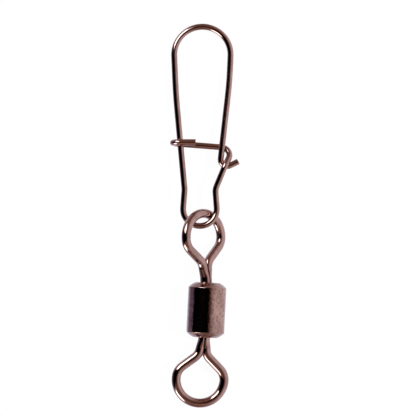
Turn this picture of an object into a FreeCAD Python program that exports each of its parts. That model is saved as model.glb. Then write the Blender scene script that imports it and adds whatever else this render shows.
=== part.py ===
# A snap swivel for fishing: a wire snap, two wire eyes and the barrel that the eyes spin in.
# It lies on a flat surface as it would come to rest. Lengths are millimetres, angles are degrees.
# +Z is up, +Y runs along the swivel towards the snap, and the origin is under the middle of the whole.

import FreeCAD, Part
import Sketcher
import math
import os

from FreeCAD import Placement, Rotation, Vector

X_AXIS = Vector(1, 0, 0)
Y_AXIS = Vector(0, 1, 0)
Z_AXIS = Vector(0, 0, 1)

# Every size that can be set by itself, each with the words that say what it is.
SIZES = [
    # The two eyes
    ("eye_wire", 1.38, "diameter of the wire of the eyes"),
    ("eye_inside", 5.84, "inside diameter of an eye's ring"),
    ("eye_length", 8.62, "from the back of the head to the centre of the ring"),
    ("eye_spread", 49, "angle of the ring's two shoulders to the shaft"),
    ("eye_corner_radius", 2.32, "centreline radius of the bends between ring and shoulders"),
    ("crotch_radius", 2.0, "centreline radius where the legs bend out of the neck"),
    ("leg_taper", 1.2, "length over which a leg changes from half-round to the round wire"),
    ("neck_diameter", 1.8, "diameter of the round neck that the two legs make"),
    ("neck_edge", 0.22, "rounding of each leg along the seam between them"),
    ("head_diameter", 3.2, "diameter of the upset head"),
    ("head_length", 1.05, "length of the head along the shaft"),
    ("head_cone", 0.5, "how much of that length is the cone under the head"),
    # The barrel
    ("barrel_diameter", 5.7, "outside diameter of the barrel"),
    ("barrel_length", 8.25, "length of the barrel over its rolled ends"),
    ("shoulder_height", 0.75, "length of the rolled shoulder at each end"),
    ("face_diameter", 3.6, "diameter of the flat end inside the shoulder"),
    ("shoulder_radius", 3.0, "radius of the shoulder's rounded profile"),
    ("barrel_wall", 0.5, "wall of the barrel's tube"),
    ("end_wall", 0.6, "wall at the rolled ends"),
    ("neck_clearance", 0.25, "running clearance round a neck in its hole"),
    ("lip_rounding", 0.12, "rounding of the hole's outer lip"),
    ("face_rounding", 0.3, "rounding between the shoulder and the end face"),
    ("edge_rounding", 0.08, "rounding between the barrel's side and shoulder"),
    # The snap
    ("snap_wire", 0.92, "diameter of the wire of the snap"),
    ("wire_gap", 0.05, "gap where the snap's wire crosses itself"),
    ("crown_width", 8.84, "width between the snap's two upper corners"),
    ("crown_rise", 4.3, "height of the crown over the loop's centre"),
    ("left_bend_inset", 0.48, "how far the left leg has drawn in at its slight bend"),
    ("left_bend_down", 6.0, "left leg's slight bend, below the loop's centre"),
    ("right_bend_inset", 0.35, "how far the right leg has drawn in at its slight bend"),
    ("right_bend_down", 4.1, "right leg's slight bend, below the loop's centre"),
    ("leg_bend_reach", 2.0, "half the length of the legs' slight bends"),
    ("waist_down", 20.2, "from the loop's centre down to the waist"),
    ("waist_left", 2.6, "waist on the left, from the middle"),
    ("waist_right", 2.0, "waist on the right, from the middle"),
    ("waist_radius", 1.8, "radius of the bends at the waist"),
    ("foot_down", 25.7, "from the loop's centre down to the foot of the snap"),
    ("foot_left", 3.0, "foot's left corner, from the middle"),
    ("foot_right", 2.42, "foot's right corner, from the middle"),
    ("crossbar_down", 13.2, "from the loop's centre down to the crossbar's left end"),
    ("crossbar_fall", 0.72, "how much lower the crossbar's right end is"),
    ("hairpin_slack", 0.12, "how loosely the wire's hairpin goes round the left leg"),
    ("free_end_across", 0.92, "free end of the wire, left of the middle"),
    ("ear_across", 4.72, "corner of the ear, right of the middle"),
    ("ear_radius", 1.4, "radius of the bend of the ear"),
    ("ear_front_across", 3.5, "where the ear passes over the catch"),
    ("ear_front_down", 16.6, "how far down the ear passes over the catch"),
    ("ear_front_radius", 1.5, "radius of the bend in front of the catch"),
    ("ear_front_share", 0.42, "share of the crossing's height that lies above the legs"),
    ("dip_start_down", 13.6, "where the right leg starts to dip to the catch"),
    ("dip_radius", 7.0, "radius of the bend where it starts to dip"),
    ("catch_across", 2.6, "corner of the catch, right of the middle"),
    ("catch_down", 17.34, "corner of the catch, below the loop's centre"),
    ("catch_radius", 1.0, "radius of the bend of the catch"),
    ("catch_tip_across", 5.4, "tip of the catch, right of the middle"),
    ("catch_tip_down", 15.95, "tip of the catch, below the loop's centre"),
    # How the pieces lie
    ("barrel_lean", 2.8, "how far the barrel lies round from the Y axis"),
    ("upper_eye_play", 0.22, "end play left in front of the upper eye's head"),
    ("lower_eye_play", 0.66, "end play left in front of the lower eye's head"),
    ("rocking_margin", 0.03, "gap left when a neck leans over in its hole"),
    ("upper_lean_angle", 160, "way that the upper eye leans, from +X towards +Z"),
    ("lower_lean_angle", 239, "way that the lower eye leans, from +X towards +Z"),
    ("link_slack", 0.72, "slack between the snap's foot and the top of the ring"),
    ("lower_ring_angle", -7, "how far the lower ring is turned from level"),
    ("snap_shift", 0.03, "snap's middle from the top of the ring, along X"),
    ("snap_roll", 1.7, "how far the snap lies over to its left"),
    ("resting_gap", 0.02, "gap left where the snap lies on the ring"),
]


def make_sheet(doc):
    """The driving dimensions, one row each, with the value's cell named by its alias."""
    sheet = doc.addObject("Spreadsheet::Sheet", "sizes")
    for row, (alias, value, meaning) in enumerate(SIZES, start=1):
        sheet.set("A%d" % row, meaning)
        sheet.set("B%d" % row, str(value))
        sheet.setAlias("B%d" % row, alias)
    doc.recompute()
    return sheet


def bent_path(points, radii):
    """Straight runs through the points, with a tangent arc at each inner point."""
    edges = []
    start = points[0]
    corners = zip(points, points[1:], points[2:], radii)
    for before, corner, after, radius in corners:
        back = (before - corner).normalize()
        ahead = (after - corner).normalize()
        half_turn = (math.pi - back.getAngle(ahead)) / 2
        trim = radius * math.tan(half_turn)
        first = corner + back * trim
        last = corner + ahead * trim
        inward = (back + ahead).normalize()
        middle = corner + inward * (radius / math.cos(half_turn) - radius)
        edges.extend(straight_run(start, first))
        edges.append(Part.Arc(first, middle, last).toShape())
        start = last
    edges.extend(straight_run(start, points[-1]))
    return Part.Wire(edges)


def straight_run(start, end):
    """One straight edge, or none where two bends follow each other at once."""
    if start.distanceToPoint(end) < 1e-5:
        return []
    return [Part.LineSegment(start, end).toShape()]


def meeting_radius(before, first, second, after):
    """The radius at which the bends at two corners meet halfway, with no straight between them."""
    run = (second - first).Length
    first_turn = math.pi - (before - first).getAngle(second - first)
    second_turn = math.pi - (first - second).getAngle(after - second)
    return run / (math.tan(first_turn / 2) + math.tan(second_turn / 2))


def sweep_wire(doc, name, path, diameter):
    """A round wire along a path, its section bound to the named diameter."""
    spine = doc.addObject("Part::Feature", name + "_path")
    spine.Shape = path
    first = path.OrderedEdges[0]
    start = path.OrderedVertexes[0].Point
    along = first.tangentAt(first.FirstParameter)
    section = doc.addObject("Part::Circle", name + "_section")
    section.setExpression("Radius", "sizes.%s / 2" % diameter)
    section.Placement = Placement(start, Rotation(Z_AXIS, along))
    wire = doc.addObject("Part::Sweep", name)
    wire.Sections = [section]
    wire.Spine = (spine, ["Edge%d" % (i + 1) for i in range(len(path.Edges))])
    wire.Solid = True
    wire.Frenet = False
    return wire


def reaching_radius(before, corner, after, reach):
    """The radius of a bend that takes up the given length of the straight runs on both its sides."""
    turn = math.pi - (before - corner).getAngle(after - corner)
    return reach / math.tan(turn / 2)


def snap_points(size):
    """The corners of the snap's wire from its free end to the tip of the catch, and the bend at each.

    The middle of the big loop is the origin, and the two legs lie in the plane of zero height.
    """
    layer = size.snap_wire + size.wire_gap
    above = layer * size.ear_front_share
    below = layer - above
    hairpin = left_leg_across(size) + layer + size.hairpin_slack
    bar_end = size.crossbar_down + size.crossbar_fall
    free_end = Vector(-size.free_end_across, -size.crossbar_down, layer)
    hairpin_front = Vector(-hairpin, -size.crossbar_down, layer)
    hairpin_back = Vector(-hairpin, -size.crossbar_down, -layer)
    ear = Vector(size.ear_across, -bar_end, -layer)
    ear_front = Vector(size.ear_front_across, -size.ear_front_down, above)
    waist_right = Vector(size.waist_right, -size.waist_down, 0)
    foot_right = Vector(size.foot_right, -size.foot_down, 0)
    foot_left = Vector(-size.foot_left, -size.foot_down, 0)
    waist_left = Vector(-size.waist_left, -size.waist_down, 0)
    left_bend = Vector(-left_bend_across(size), -size.left_bend_down, 0)
    crown_left = Vector(-size.crown_width / 2, size.crown_rise, 0)
    crown_right = Vector(size.crown_width / 2, size.crown_rise, 0)
    right_bend = Vector(size.crown_width / 2 - size.right_bend_inset, -size.right_bend_down, 0)
    catch = Vector(size.catch_across, -size.catch_down, -below)
    dip_share = (size.dip_start_down - size.right_bend_down) / (size.catch_down - size.right_bend_down)
    dip_start = right_bend + (catch - right_bend) * dip_share
    dip_start.z = 0
    catch_tip = Vector(size.catch_tip_across, -size.catch_tip_down, -below * 1.25)
    foot_radius = meeting_radius(waist_right, foot_right, foot_left, waist_left)
    crown_radius = meeting_radius(left_bend, crown_left, crown_right, right_bend)
    left_radius = reaching_radius(waist_left, left_bend, crown_left, size.leg_bend_reach)
    right_radius = reaching_radius(crown_right, right_bend, dip_start, size.leg_bend_reach)
    bends = [
        (free_end, None),
        (hairpin_front, layer),
        (hairpin_back, layer),
        (ear, size.ear_radius),
        (ear_front, size.ear_front_radius),
        (waist_right, size.waist_radius),
        (foot_right, foot_radius),
        (foot_left, foot_radius),
        (waist_left, size.waist_radius),
        (left_bend, left_radius),
        (crown_left, crown_radius),
        (crown_right, crown_radius),
        (right_bend, right_radius),
        (dip_start, size.dip_radius),
        (catch, size.catch_radius),
        (catch_tip, None),
    ]
    points = [point for point, radius in bends]
    radii = [radius for point, radius in bends[1:-1]]
    return points, radii


def left_bend_across(size):
    """How far left of the middle the left leg's slight bend is."""
    return size.crown_width / 2 - size.left_bend_inset


def left_leg_across(size):
    """How far left of the middle the left leg's centreline is where the crossbar passes it."""
    bend = left_bend_across(size)
    share = (size.crossbar_down - size.left_bend_down) / (size.waist_down - size.left_bend_down)
    return bend + (size.waist_left - bend) * share


def make_snap(doc, size):
    points, radii = snap_points(size)
    return sweep_wire(doc, "snap_wire", bent_path(points, radii), "snap_wire")


def leg_corners(size):
    """Where one leg's seam face ends and where its round face starts, seen along the shaft, upper edge only."""
    outer = size.neck_diameter / 2
    reach = outer - size.neck_edge
    centre = Vector(size.neck_edge, 0, math.sqrt(reach**2 - size.neck_edge**2))
    seam = Vector(0, 0, centre.z)
    rounded = centre * (outer / reach)
    outward = (Vector(-1, 0, 0) + Vector(centre).normalize()).normalize()
    between = centre + outward * size.neck_edge
    return seam, between, rounded


def mirrored(point):
    """The same point below the plane of the ring."""
    return Vector(point.x, point.y, -point.z)


def leg_section(size):
    """One leg of the neck: a half-round whose two long edges are rounded, seen along the shaft."""
    seam, between, rounded = leg_corners(size)
    outer = Vector(size.neck_diameter / 2, 0, 0)
    return Part.Wire([
        Part.LineSegment(mirrored(seam), seam).toShape(),
        Part.Arc(seam, between, rounded).toShape(),
        Part.Arc(rounded, outer, mirrored(rounded)).toShape(),
        Part.Arc(mirrored(rounded), mirrored(between), mirrored(seam)).toShape(),
    ])


def round_section(size):
    """The round wire's section in four arcs, whose corners face those of the leg's section."""
    seam, between, rounded = leg_corners(size)
    centre = Vector(size.neck_diameter / 4, 0, 0)
    seam_angle = math.atan2(seam.z, seam.x - centre.x)
    rounded_angle = math.atan2(rounded.z, rounded.x - centre.x)
    angles = [2 * math.pi - seam_angle, seam_angle, rounded_angle, -rounded_angle, -seam_angle]
    radius = size.eye_wire / 2

    def at(angle):
        return centre + X_AXIS * (radius * math.cos(angle)) + Z_AXIS * (radius * math.sin(angle))

    arcs = []
    for start, end in zip(angles, angles[1:]):
        arcs.append(Part.Arc(at(start), at((start + end) / 2), at(end)).toShape())
    return Part.Wire(arcs)


def ring_radius(size):
    """Radius of the ring's centreline."""
    return (size.eye_inside + size.eye_wire) / 2


def bow_path(size):
    """Centreline of the ring's right half, from where it bends out of the neck to the ring's far side."""
    spread = math.radians(size.eye_spread)
    middle = size.neck_diameter / 4
    ring_centre = Vector(0, size.eye_length, 0)
    shoulder = Vector(math.sin(spread), math.cos(spread), 0)
    outward = Vector(math.cos(spread), -math.sin(spread), 0)

    ring_side = ring_centre + X_AXIS * ring_radius(size)
    ring_middle = ring_centre + (X_AXIS + Y_AXIS).normalize() * ring_radius(size)
    ring_far = ring_centre + Y_AXIS * ring_radius(size)
    corner_centre = ring_side - X_AXIS * size.eye_corner_radius
    corner_middle = corner_centre + (outward + X_AXIS).normalize() * size.eye_corner_radius
    corner_start = corner_centre + outward * size.eye_corner_radius

    bend_across = middle + size.crotch_radius * (1 - math.cos(spread))
    bend_end = corner_start - shoulder * ((corner_start.x - bend_across) / shoulder.x)
    neck_end = Vector(middle, bend_end.y - size.crotch_radius * math.sin(spread), 0)
    bend_centre = neck_end + X_AXIS * size.crotch_radius
    half_way = Vector(-math.cos(spread / 2), math.sin(spread / 2), 0)
    return Part.Wire([
        Part.Arc(neck_end, bend_centre + half_way * size.crotch_radius, bend_end).toShape(),
        Part.LineSegment(bend_end, corner_start).toShape(),
        Part.Arc(corner_start, corner_middle, ring_side).toShape(),
        Part.Arc(ring_side, ring_middle, ring_far).toShape(),
    ])


def add_outline(doc, name, wire, height):
    """A fixed section at a height along the shaft."""
    outline = doc.addObject("Part::Feature", name)
    outline.Shape = wire.translated(Y_AXIS * height)
    return outline


def make_eye(doc, size, name):
    """One eye, its shaft along +Y from the back of the head at the origin, its ring in the XY plane."""
    path = bow_path(size)
    neck_end = path.OrderedVertexes[0].Point.y
    taper_start = neck_end - size.leg_taper

    # Half of the ring, its shoulder and its bend out of the neck are one round wire.
    bow = sweep_wire(doc, name + "_bow", path, "eye_wire")

    # Below that bend the leg changes to a half-round, which runs straight down to the head.
    root = add_outline(doc, name + "_leg_root", leg_section(size), 0)
    leg = doc.addObject("Part::Extrusion", name + "_leg")
    leg.Base = root
    leg.DirMode = "Custom"
    leg.Dir = Y_AXIS
    leg.LengthFwd = taper_start
    leg.Solid = True
    taper = doc.addObject("Part::Loft", name + "_taper")
    taper.Sections = [
        add_outline(doc, name + "_taper_start", leg_section(size), taper_start),
        add_outline(doc, name + "_taper_end", round_section(size), neck_end),
    ]
    taper.Solid = True
    taper.Ruled = True

    # Each leg is pressed flat where it meets the other, so the right half ends at the YZ plane.
    half = doc.addObject("Part::MultiFuse", name + "_half")
    half.Shapes = [bow, taper, leg]
    side = doc.addObject("Part::Box", name + "_side")
    side.setExpression("Length", "sizes.eye_inside + sizes.eye_wire * 2")
    side.setExpression("Width", "sizes.eye_length + sizes.eye_inside + sizes.eye_wire * 2")
    side.setExpression("Height", "sizes.eye_wire + sizes.neck_diameter")
    side.setExpression("Placement.Base.z", "-(sizes.eye_wire + sizes.neck_diameter) / 2")
    right = doc.addObject("Part::Common", name + "_right")
    right.Base = half
    right.Tool = side
    left = doc.addObject("Part::Mirroring", name + "_left")
    left.Source = right
    left.Normal = X_AXIS

    # The head is a short round plate with a cone under it.
    plate = doc.addObject("Part::Cylinder", name + "_plate")
    plate.setExpression("Radius", "sizes.head_diameter / 2")
    plate.setExpression("Height", "sizes.head_length - sizes.head_cone")
    plate.Placement.Rotation = Rotation(X_AXIS, -90)
    cone = doc.addObject("Part::Cone", name + "_cone")
    cone.setExpression("Radius1", "sizes.head_diameter / 2")
    cone.setExpression("Radius2", "sizes.neck_diameter / 2")
    cone.setExpression("Height", "sizes.head_cone")
    cone.Placement.Rotation = Rotation(X_AXIS, -90)
    cone.setExpression("Placement.Base.y", "sizes.head_length - sizes.head_cone")

    eye = doc.addObject("Part::MultiFuse", name)
    eye.Shapes = [right, left, plate, cone]
    eye.Refine = True
    return eye


def origin_feature(body, role):
    """One of a body's own planes or axes, found by its role."""
    return [feature for feature in body.Origin.OriginFeatures if feature.Role == role][0]


def shoulder_arc(start, end, radius):
    """The shoulder's rounded profile between two corners, bulging outwards."""
    chord = end - start
    middle = (start + end) / 2
    inward = chord.cross(Z_AXIS).normalize() * -1
    centre = middle + inward * math.sqrt(radius**2 - (chord.Length / 2) ** 2)
    circle = Part.Circle(centre, Z_AXIS, radius)
    first = math.atan2(start.y - centre.y, start.x - centre.x)
    last = math.atan2(end.y - centre.y, end.x - centre.x)
    return Part.ArcOfCircle(circle, first, last)


def profile_corners(size):
    """The barrel's section on one side of its axis, X across and Y along, anticlockwise."""
    outer = size.barrel_diameter / 2
    hole = size.neck_diameter / 2 + size.neck_clearance
    face = size.face_diameter / 2
    bore = outer - size.barrel_wall
    half = size.barrel_length / 2
    side = half - size.shoulder_height
    inner = half - size.end_wall
    return [
        Vector(outer, -side, 0),
        Vector(outer, side, 0),
        Vector(face, half, 0),
        Vector(hole, half, 0),
        Vector(hole, inner, 0),
        Vector(bore, inner, 0),
        Vector(bore, -inner, 0),
        Vector(hole, -inner, 0),
        Vector(hole, -half, 0),
        Vector(face, -half, 0),
    ]


def bind_profile(sketch):
    """Ties the barrel's section to the sheet: the geometry is numbered in the order of its corners."""
    start, end = 1, 2
    root, x_line = -1, -1
    for index in range(10):
        sketch.addConstraint(Sketcher.Constraint("Coincident", index, end, (index + 1) % 10, start))
    for index in (2, 4, 6):
        sketch.addConstraint(Sketcher.Constraint("Horizontal", index))
    for index in (3, 7):
        sketch.addConstraint(Sketcher.Constraint("Vertical", index))
    for first, second in ((0, 0), (5, 5), (2, 8), (8, 2)):
        sketch.addConstraint(Sketcher.Constraint("Symmetric", first, start, second, end, x_line))
    dimensions = [
        ("outer", "DistanceX", (root, 1, 0, start), "sizes.barrel_diameter / 2"),
        ("face", "DistanceX", (root, 1, 2, start), "sizes.face_diameter / 2"),
        ("hole", "DistanceX", (root, 1, 3, start), "sizes.neck_diameter / 2 + sizes.neck_clearance"),
        ("bore", "DistanceX", (root, 1, 5, start), "sizes.barrel_diameter / 2 - sizes.barrel_wall"),
        ("half", "DistanceY", (root, 1, 2, start), "sizes.barrel_length / 2"),
        ("side", "DistanceY", (root, 1, 0, end), "sizes.barrel_length / 2 - sizes.shoulder_height"),
        ("inner", "DistanceY", (root, 1, 5, start), "sizes.barrel_length / 2 - sizes.end_wall"),
        ("upper_shoulder", "Radius", (1,), "sizes.shoulder_radius"),
        ("lower_shoulder", "Radius", (9,), "sizes.shoulder_radius"),
    ]
    for name, kind, where, expression in dimensions:
        value = sketch.evalExpression(expression)
        index = sketch.addConstraint(Sketcher.Constraint(kind, *where, float(value)))
        sketch.renameConstraint(index, name)
        sketch.setExpression("Constraints." + name, expression)


def ring_edges(shape, radius, height):
    """Names of a turned shape's circular edges at a radius, and a distance either way along its axis."""
    found = []
    for number, edge in enumerate(shape.Edges, start=1):
        curve = edge.Curve
        if not isinstance(curve, Part.Circle):
            continue
        same_radius = abs(curve.Radius - radius) < 1e-4
        same_height = abs(abs(curve.Center.y) - height) < 1e-4
        if same_radius and same_height:
            found.append("Edge%d" % number)
    return found


def round_edges(body, base, name, edges, size_name):
    """Rounds a body's named edges by a size from the sheet."""
    fillet = body.newObject("PartDesign::Fillet", name)
    fillet.Base = (base, edges)
    fillet.setExpression("Radius", "sizes." + size_name)
    body.Document.recompute()
    return fillet


def make_barrel(doc, size):
    """The barrel: a tube turned round the Y axis, its ends rolled in to a hole for each neck."""
    body = doc.addObject("PartDesign::Body", "barrel")
    sketch = body.newObject("Sketcher::SketchObject", "barrel_profile")
    sketch.AttachmentSupport = (origin_feature(body, "XY_Plane"), [""])
    sketch.MapMode = "FlatFace"
    corners = profile_corners(size)
    for index, corner in enumerate(corners):
        following = corners[(index + 1) % len(corners)]
        if index in (1, 9):
            sketch.addGeometry(shoulder_arc(corner, following, size.shoulder_radius), False)
        else:
            sketch.addGeometry(Part.LineSegment(corner, following), False)
    bind_profile(sketch)
    doc.recompute()

    turned = body.newObject("PartDesign::Revolution", "barrel_turned")
    turned.Profile = sketch
    turned.ReferenceAxis = (sketch, ["V_Axis"])
    turned.Angle = 360
    doc.recompute()

    outer, face, hole = corners[1], corners[2], corners[3]
    lips = ring_edges(turned.Shape, hole.x, hole.y)
    lipped = round_edges(body, turned, "hole_lips", lips, "lip_rounding")
    faces = ring_edges(lipped.Shape, face.x, face.y)
    faced = round_edges(body, lipped, "end_faces", faces, "face_rounding")
    sides = ring_edges(faced.Shape, outer.x, outer.y)
    round_edges(body, faced, "shoulder_edges", sides, "edge_rounding")
    return body


def rocking_angle(size, play):
    """How far an eye can lean over before its neck meets the rim of its hole."""
    reach = size.head_length + play + size.end_wall
    return math.atan((size.neck_clearance - size.rocking_margin) / reach)


def eye_axis(size, side, play, lean_angle):
    """Where the back of an eye's head lies and which way its shaft points: side is 1 above, -1 below."""
    lean = math.radians(size.barrel_lean)
    along = Vector(math.sin(lean), math.cos(lean), 0)
    across = Vector(math.cos(lean), -math.sin(lean), 0)
    middle = Z_AXIS * (size.barrel_diameter / 2)
    depth = size.barrel_length / 2 - size.end_wall - play - size.head_length
    turn = math.radians(lean_angle)
    leaning = across * math.cos(turn) + Z_AXIS * math.sin(turn)
    rocking = rocking_angle(size, play)
    shaft = along * (side * math.cos(rocking)) + leaning * math.sin(rocking)
    return middle + along * (side * depth), shaft


def eye_placement(back, shaft, turn):
    """An eye with its shaft along the given direction, its ring turned from level by an angle in degrees."""
    level = shaft.cross(Z_AXIS).normalize()
    upright = level.cross(shaft)
    level_ring = Rotation(level, shaft, upright, "YXZ")
    return Placement(back, Rotation(shaft, turn) * level_ring)


def turn_to_floor(size, back, shaft):
    """How far the ring turns about its shaft, from level, until its side lies on the floor."""
    height = back.z + size.eye_length * shaft.z
    drop = (height - size.eye_wire / 2) / ring_radius(size)
    return math.degrees(math.asin(math.sqrt((drop**2 - shaft.z**2) / (1 - shaft.z**2))))


def lowest(shape):
    return shape.optimalBoundingBox(False, False).ZMin


def snap_lying(size, path, ring_top, pitch):
    """The snap's placement at a pitch: its foot rises, its crown or crossbar lies on the floor."""
    rotation = Rotation(Y_AXIS, -size.snap_roll) * Rotation(X_AXIS, -pitch)
    turned = path.copy()
    turned.Placement = Placement(Vector(), rotation)
    foot = rotation.multVec(Vector(0, -size.foot_down, 0))
    link = (size.eye_wire + size.snap_wire) / 2 + size.link_slack
    return Placement(
        Vector(
            ring_top.x + size.snap_shift,
            ring_top.y - link - foot.y,
            size.snap_wire / 2 - lowest(turned),
        ),
        rotation,
    )


def settle_snap(size, ring, ring_top):
    """Lowers the snap's foot until it rests on the ring, and returns its placement."""
    points, radii = snap_points(size)
    path = bent_path(points, radii)
    apart = (size.eye_wire + size.snap_wire) / 2 + size.resting_gap
    low, high = 0.0, 12.0
    for step in range(24):
        pitch = (low + high) / 2
        placed = path.copy()
        placed.Placement = snap_lying(size, path, ring_top, pitch)
        if placed.distToShape(ring)[0] < apart:
            low = pitch
        else:
            high = pitch
    return snap_lying(size, path, ring_top, high)


def place_pieces(size, snap, upper_eye, barrel, lower_eye):
    """Lays every piece where it comes to rest, then centres the whole over the origin."""
    barrel.Placement = Placement(
        Z_AXIS * (size.barrel_diameter / 2), Rotation(Z_AXIS, -size.barrel_lean)
    )
    back, shaft = eye_axis(size, 1, size.upper_eye_play, size.upper_lean_angle)
    upper_eye.Placement = eye_placement(back, shaft, turn_to_floor(size, back, shaft))
    ring_top = back + shaft * (size.eye_length + ring_radius(size))
    ring = Part.makeCircle(ring_radius(size), Y_AXIS * size.eye_length, Z_AXIS)
    ring.Placement = upper_eye.Placement
    snap.Placement = settle_snap(size, ring, ring_top)
    back, shaft = eye_axis(size, -1, size.lower_eye_play, size.lower_lean_angle)
    lower_eye.Placement = eye_placement(back, shaft, size.lower_ring_angle)


def centre_pieces(pieces):
    """Moves all pieces together so that the middle of the whole is over the origin."""
    whole = Part.makeCompound([piece.Shape for piece in pieces]).optimalBoundingBox(False, False)
    shift = Vector(-whole.Center.x, -whole.Center.y, 0)
    for piece in pieces:
        place = piece.Placement
        piece.Placement = Placement(place.Base + shift, place.Rotation)


def check_document(doc, pieces):
    """Stops if an object failed or a piece isn't one sound solid."""
    for thing in doc.Objects:
        if "Invalid" in thing.State or "Error" in thing.State:
            raise RuntimeError("%s failed: %s" % (thing.Label, thing.State))
    for piece in pieces:
        shape = piece.Shape
        if shape.isNull() or not shape.isValid() or len(shape.Solids) != 1:
            raise RuntimeError("%s is not one sound solid" % piece.Label)


def main():
    doc = FreeCAD.newDocument("snap_swivel")
    size = make_sheet(doc)
    barrel = make_barrel(doc, size)
    upper_eye = make_eye(doc, size, "upper_eye")
    lower_eye = make_eye(doc, size, "lower_eye")
    snap = make_snap(doc, size)
    pieces = [snap, upper_eye, barrel, lower_eye]
    doc.recompute()
    place_pieces(size, *pieces)
    doc.recompute()
    centre_pieces(pieces)
    doc.recompute()
    check_document(doc, pieces)
    os.makedirs("parts", exist_ok=True)
    for piece in pieces:
        piece.Shape.exportStep("parts/%s.step" % piece.Label)
        box = piece.Shape.BoundBox
        print("%-10s %8.3f mm3  z %.3f to %.3f" % (piece.Label, piece.Shape.Volume, box.ZMin, box.ZMax))


main()
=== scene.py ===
# %% [markdown]
# # A fishing snap swivel in dark nickel
#
# The object is four pieces of polished metal: a bent-wire snap, two wire eyes and the barrel that the eyes
# spin in. Their shapes come with the frame, at their real size. This lesson gives them their finish and sets
# up the table, the light tent and the camera.

import math

import bmesh
import bpy
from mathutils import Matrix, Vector

MM = 0.001
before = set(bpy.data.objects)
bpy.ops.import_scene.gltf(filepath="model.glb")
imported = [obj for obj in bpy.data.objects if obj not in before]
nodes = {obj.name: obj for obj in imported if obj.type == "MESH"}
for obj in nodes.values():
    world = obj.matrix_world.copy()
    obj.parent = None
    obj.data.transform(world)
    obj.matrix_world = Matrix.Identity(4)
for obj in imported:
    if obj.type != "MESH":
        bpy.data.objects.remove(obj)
scene = bpy.context.scene
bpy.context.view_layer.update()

# %% [markdown]
# The swivel lies flat and is seen from straight above. A long lens from a metre away gives nearly parallel
# lines of sight, as a product photograph of so small a thing has, so that the barrel doesn't bulge.

# %% The camera
VIEW_WIDTH = 62.25 * MM
VIEW_MIDDLE = Vector((0.49, 1.13, 2.85)) * MM
CAMERA_HEIGHT = 1.0
SENSOR_WIDTH = 36  # in mm, as Blender gives lenses and sensors

camera_data = bpy.data.cameras.new("camera")
camera_data.sensor_width = SENSOR_WIDTH
camera_data.lens = SENSOR_WIDTH * CAMERA_HEIGHT / VIEW_WIDTH
camera = bpy.data.objects.new("camera", camera_data)
camera.location = VIEW_MIDDLE + Vector((0, 0, CAMERA_HEIGHT))
scene.collection.objects.link(camera)
scene.camera = camera
scene.view_settings.view_transform = "Standard"
print("lens", round(camera_data.lens), "mm")


# %% [markdown]
# Shader maths reads best as plain sums. `Field` stands for a value that changes over a surface or round the
# sky. An operator between two fields adds the Math node for it, and every other node comes from `node`.

# %% Sums of sockets
class Field:
    """A socket in a node tree that can take part in sums."""

    def __init__(self, tree, socket=None):
        self.tree = tree
        self.socket = socket

    def node(self, kind, settings=None, values=None, output=0):
        """Adds one node: its settings first, then the values or links of its sockets."""
        made = self.tree.nodes.new(kind)
        for name, value in (settings or {}).items():
            setattr(made, name, value)
        for name, value in (values or {}).items():
            if isinstance(value, Field):
                self.tree.links.new(value.socket, made.inputs[name])
            else:
                made.inputs[name].default_value = value
        return Field(self.tree, made.outputs[output] if made.outputs else None)

    def other(self, output):
        """Another output of the same node."""
        return Field(self.tree, self.socket.node.outputs[output])

    def math(self, operation, *values):
        """A Math node with numbers or fields as its values."""
        return self.node("ShaderNodeMath", {"operation": operation}, dict(enumerate(values)))

    def __add__(self, value):
        return self.math("ADD", self, value)

    __radd__ = __add__

    def __sub__(self, value):
        return self.math("SUBTRACT", self, value)

    def __rsub__(self, value):
        return self.math("SUBTRACT", value, self)

    def __mul__(self, value):
        return self.math("MULTIPLY", self, value)

    __rmul__ = __mul__

    def __truediv__(self, value):
        return self.math("DIVIDE", self, value)

    def __neg__(self):
        return self.math("MULTIPLY", self, -1.0)

    def __abs__(self):
        return self.math("ABSOLUTE", self)

    def at_least(self, value):
        """The larger of this field and a number or another field."""
        return self.math("MAXIMUM", self, value)

    def dot(self, fixed):
        """How far this vector points along a fixed one."""
        settings = {"operation": "DOT_PRODUCT"}
        return self.node("ShaderNodeVectorMath", settings, {0: self, 1: fixed}, output="Value")

    def rises(self, low, high):
        """0 below `low`, 1 above `high` and a smooth step between them."""
        values = {"Value": self, "From Min": low, "From Max": high}
        return self.node("ShaderNodeMapRange", {"interpolation_type": "SMOOTHSTEP"}, values)

    def blend(self, first, second):
        """A colour: `first` where this field is 0 and `second` where it is 1."""
        # a Mix node has sockets for every kind of value, and these numbers are those for colours
        values = {"Factor": self, 6: first, 7: second}
        return self.node("ShaderNodeMix", {"data_type": "RGBA"}, values, output=2)


def empty_tree(owner):
    """A field without a socket, to add nodes to the cleared tree of a material or world."""
    owner.use_nodes = True
    owner.node_tree.nodes.clear()
    return Field(owner.node_tree)


# %% [markdown]
# Polished metal has hardly a colour of its own: it shows the room. The photograph's room is a light tent, and
# each of its parts can be read off the metal. Two soft boxes behind the left wall draw the white lines on the
# wires. The black slit between them draws the black stripe down the barrel. The right wall glows evenly. The
# camera looks in through a hole in the roof, which is black too, and a thin gap along the front edge lets in
# a little light.
#
# A real tent could be built from planes that glow. A world that is painted in layers, as a colour for each
# direction, does the same with soft edges and no noise, and it looks right however far the camera stands.

# %% The tent's colours, where 1 is a white wall
WALL_DIM = (0.32, 0.2, 0.15, 1.0)
WALL_BRIGHT = (1.1, 1.12, 1.16, 1.0)
SOFT_BOX = (7.0, 8.5, 8.5, 1.0)
GAP = (1.3, 1.15, 1.0, 1.0)
BLACK = (0.0, 0.0, 0.0, 1.0)
DUSK = (0.2, 0.18, 0.32, 1.0)
HAZE = (0.85, 0.82, 0.98, 1.0)
LAVENDER = (1.0, 1.05, 1.25, 1.0)
WHITE = (1.0, 1.0, 1.0, 1.0)
print("a soft box is", max(SOFT_BOX), "times as bright as white")


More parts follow.
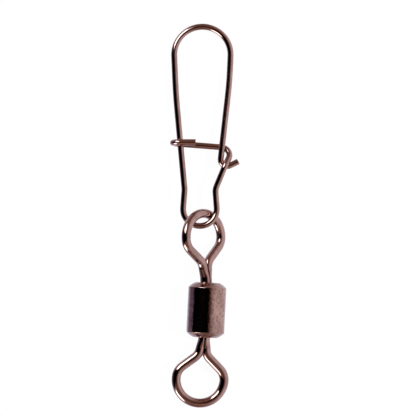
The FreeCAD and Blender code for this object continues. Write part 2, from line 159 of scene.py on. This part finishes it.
# %% [markdown]
# A panel is a rectangle in the sky. Dividing by how far a direction faces the panel's middle flattens the sky
# to a plane there, so that its sides come out straight. A direction that faces away gets a tiny divisor,
# which puts it outside the rectangle.

# %% Directions and panels
PANELS = [
    # compass angle from +X, angle from the top, half height and half width as tangents, colour
    (134, 45, 0.32, 0.24, SOFT_BOX),
    (230, 76, 0.28, 0.25, SOFT_BOX),
    (268, 48, 0.05, 0.6, GAP),
]
PANEL_EDGE = 0.06
LEAST_FACING = 0.001


def towards(compass, from_top):
    """The direction at a compass angle from +X and an angle from straight up, in degrees."""
    compass, from_top = math.radians(compass), math.radians(from_top)
    flat = math.sin(from_top)
    return Vector((flat * math.cos(compass), flat * math.sin(compass), math.cos(from_top)))


def panel(direction, compass, from_top, tall, wide):
    """1 in a rectangle of the sky and 0 around it."""
    middle, top = towards(compass, from_top), towards(compass, from_top - 90)
    facing = direction.dot(middle).at_least(LEAST_FACING)
    up = abs(direction.dot(top)) / facing
    across = abs(direction.dot(middle.cross(top))) / facing
    return (tall - up).rises(-PANEL_EDGE, PANEL_EDGE) * (wide - across).rises(-PANEL_EDGE, PANEL_EDGE)


print("the first soft box is towards", [round(part, 2) for part in towards(*PANELS[0][:2])])


# %% [markdown]
# The layers follow from the back to the front: walls, panels, the black slit and the hole, and then what lies
# under the table. The slit is a wedge that opens to the left. Under the table's left side it is dusky, and
# straight below the swivel lies white paper, which the undersides of the metal mirror.
#
# The numbers are read against a direction's x, y and z, which run from -1 to 1. Each step is a pair of them
# between which a layer fades in.

# %% The layers
WALL_STEP = (0.3, 1.0)  # to the right
WALL_LEAN = 0.25  # how much sooner the wall brightens at the level of the table
SLIT_MIDDLE = -0.02
SLIT_HALF = 0.16  # half the width overhead
SLIT_OPENS = 0.32  # what it gains to the left
SLIT_CLOSES = 0.3  # what it loses to the right
SLIT_EDGE = 0.04
SLIT_END = (0.3, 0.6)  # to the right
HOLE_ANGLES = (19, 13)  # from straight up, in degrees
TABLE_STEP = (-0.1, 0.05)  # downwards
SHADE_STEP = (0.0, 0.5)  # to the left
HAZE_STEP = (0.3, 0.65)  # along the swivel, to both its ends
PAPER_STEP = (0.45, 0.95)  # downwards
BEHIND_STEP = (0.93, 0.97)  # downwards


def paint_tent(direction):
    """The tent's colour in a direction, and 1 where the background lies: straight down."""
    x = direction.node("ShaderNodeSeparateXYZ", values={"Vector": direction})
    y, z = x.other("Y"), x.other("Z")
    left, right, down = -x, x, -z
    light = (right + WALL_LEAN * (1 - z)).rises(*WALL_STEP).blend(WALL_DIM, WALL_BRIGHT)
    for *place, colour in PANELS:
        light = panel(direction, *place).blend(light, colour)

    half_width = SLIT_HALF + SLIT_OPENS * left.at_least(0.0) - SLIT_CLOSES * right.at_least(0.0)
    slit = (half_width - abs(y - SLIT_MIDDLE)).rises(-SLIT_EDGE, SLIT_EDGE) * (1 - right.rises(*SLIT_END))
    hole = z.rises(*[math.cos(math.radians(angle)) for angle in HOLE_ANGLES])
    light = slit.at_least(hole).blend(light, BLACK)

    under = down.rises(*TABLE_STEP) * left.rises(*SHADE_STEP)
    light = under.blend(light, abs(y).rises(*HAZE_STEP).blend(DUSK, HAZE))
    return down.rises(*PAPER_STEP).blend(light, LAVENDER), down.rises(*BEHIND_STEP)


print("the hole in the roof is", sum(HOLE_ANGLES), "degrees wide")

# %% [markdown]
# The background has to be white without adding light to the object. So the camera's own rays see plain white
# everywhere, and glossy and transmission rays see the same white where the background lies behind the object,
# which is straight down.

# %% The world
tent = bpy.data.worlds.new("light_tent")
scene.world = tent
sky = empty_tree(tent)
tent_colour, behind = paint_tent(sky.node("ShaderNodeTexCoord", output="Generated"))
camera_rays = sky.node("ShaderNodeLightPath", output="Is Camera Ray")
mirrored_rays = camera_rays.other("Is Glossy Ray").at_least(camera_rays.other("Is Transmission Ray"))
tent_light = sky.node("ShaderNodeBackground", values={"Color": tent_colour, "Strength": 1.0})
plain_light = sky.node("ShaderNodeBackground", values={"Color": WHITE, "Strength": 1.0})
white_seen = camera_rays.at_least(mirrored_rays * behind)
world_light = sky.node("ShaderNodeMixShader", values={0: white_seen, 1: tent_light, 2: plain_light})
sky.node("ShaderNodeOutputWorld", values={"Surface": world_light})
print("the tent has", len(PANELS), "panels and", len(tent.node_tree.nodes), "nodes")

# %% [markdown]
# The table is a sheet of frosted glass over white paper. The sheet keeps a trace of the shadows. The paper
# needs no mesh: it is the white that the world shows from above, and its light on the metal is painted into
# the tent. Frosting is a mix of two shaders: most of the sheet lets light through unbent, and the rest is a
# matt white.

# %% The table
TABLE_HALF = 1.5
FROST = 0.04
FROST_COLOUR = (0.9, 0.9, 0.9, 1.0)

table_glass = bpy.data.materials.new("table_glass")
sheet = empty_tree(table_glass)
clear = sheet.node("ShaderNodeBsdfTransparent")
matt = sheet.node("ShaderNodeBsdfDiffuse", values={"Color": FROST_COLOUR})
frosted = sheet.node("ShaderNodeMixShader", values={0: FROST, 1: clear, 2: matt})
sheet.node("ShaderNodeOutputMaterial", values={"Surface": frosted})

table_shape = bmesh.new()
bmesh.ops.create_grid(table_shape, x_segments=1, y_segments=1, size=TABLE_HALF)
table_mesh = bpy.data.meshes.new("table")
table_shape.to_mesh(table_mesh)
table_shape.free()
table_mesh.materials.append(table_glass)
table = bpy.data.objects.new("table", table_mesh)
scene.collection.objects.link(table)
print("the table is", 2 * TABLE_HALF, "m wide")

# %% [markdown]
# One more lamp lights the table from the right, so that the swivel casts a soft shadow. The metal doesn't
# mirror it: the tent's bright wall stands for it there.

# %% The table's lamp
TABLE_LAMP_STRENGTH = 3.2
TABLE_LAMP_SPREAD = math.radians(14)
TABLE_LAMP_PLACE = (0, 40)

lamp_data = bpy.data.lights.new("table_lamp", "SUN")
lamp_data.energy = TABLE_LAMP_STRENGTH
lamp_data.angle = TABLE_LAMP_SPREAD
lamp = bpy.data.objects.new("table_lamp", lamp_data)
lamp.rotation_euler = towards(*TABLE_LAMP_PLACE).to_track_quat("Z", "Y").to_euler()
lamp.visible_glossy = False
scene.collection.objects.link(lamp)
print("the lamp shines", TABLE_LAMP_STRENGTH, "W/m2")


# %% [markdown]
# All four pieces are plated with black nickel, which is a warm brown-grey mirror. Plating is never perfectly
# even, so its colour drifts a little, and a fine grain breaks up the reflections and the gloss. The wires are
# drawn smooth before they are plated. The barrel is turned and then tumbled with stones, which leaves it full
# of small marks, so its grain is deeper and has dark specks in it.
#
# A painted picture could carry the marks, but it would have to be wrapped round bent wire. Noise that is read
# at each point in space needs no wrapping and is as fine on the wire as on the barrel.

# %% The plating
NICKEL = (0.39, 0.24, 0.22, 1.0)
NICKEL_DARK = (0.3, 0.18, 0.165, 1.0)
SPECK = (0.22, 0.12, 0.09, 1.0)
DRIFT_SIZE = 2 * MM
DRIFT_DETAIL = 3.0
DRIFT_STEP = (0.35, 0.65)
GRAIN_DETAIL = 4.0
SPECK_STEP = (0.45, 0.65)
NOISE_MIDDLE = 0.5
GLOSS_CHANGE = 0.04


def noise(place, size, detail):
    """Cloudy noise from 0 to 1, with spots of about the given size in metres."""
    return place.node("ShaderNodeTexNoise", values={"Vector": place, "Scale": 1 / size, "Detail": detail})


def plating(name, roughness, grain_depth, grain_size, speckle):
    """Black nickel with a grain of the given depth and size in metres, and its specks from 0 to 1."""
    material = bpy.data.materials.new(name)
    metal = empty_tree(material)
    place = metal.node("ShaderNodeTexCoord", output="Object")
    drift = noise(place, DRIFT_SIZE, DRIFT_DETAIL)
    grain = noise(place, grain_size, GRAIN_DETAIL)
    nickel = drift.rises(*DRIFT_STEP).blend(NICKEL_DARK, NICKEL)
    specks = speckle * grain.rises(*SPECK_STEP)
    bump = metal.node("ShaderNodeBump", values={"Height": grain, "Distance": grain_depth, "Strength": 1.0})
    values = {
        "Base Color": specks.blend(nickel, SPECK),
        "Metallic": 1.0,
        "Roughness": roughness + GLOSS_CHANGE * (grain - NOISE_MIDDLE),
        "Normal": bump,
    }
    surface = metal.node("ShaderNodeBsdfPrincipled", values=values)
    metal.node("ShaderNodeOutputMaterial", values={"Surface": surface})
    return material


# %% [markdown]
# Each piece gets a material of its own, because each is plated apart. The three wires share one set of
# numbers.

# %% The finishes
WIRE = {"roughness": 0.06, "grain_depth": 0.001 * MM, "grain_size": 0.3 * MM, "speckle": 0.2}
TUMBLED = {"roughness": 0.1, "grain_depth": 0.03 * MM, "grain_size": 0.36 * MM, "speckle": 0.9}
FINISHES = {"snap_wire": WIRE, "upper_eye": WIRE, "lower_eye": WIRE, "barrel": TUMBLED}

for name, finish in FINISHES.items():
    node_materials = nodes[name].data.materials
    node_materials.clear()
    node_materials.append(plating(name + "_nickel", **finish))
print("plated:", list(FINISHES))
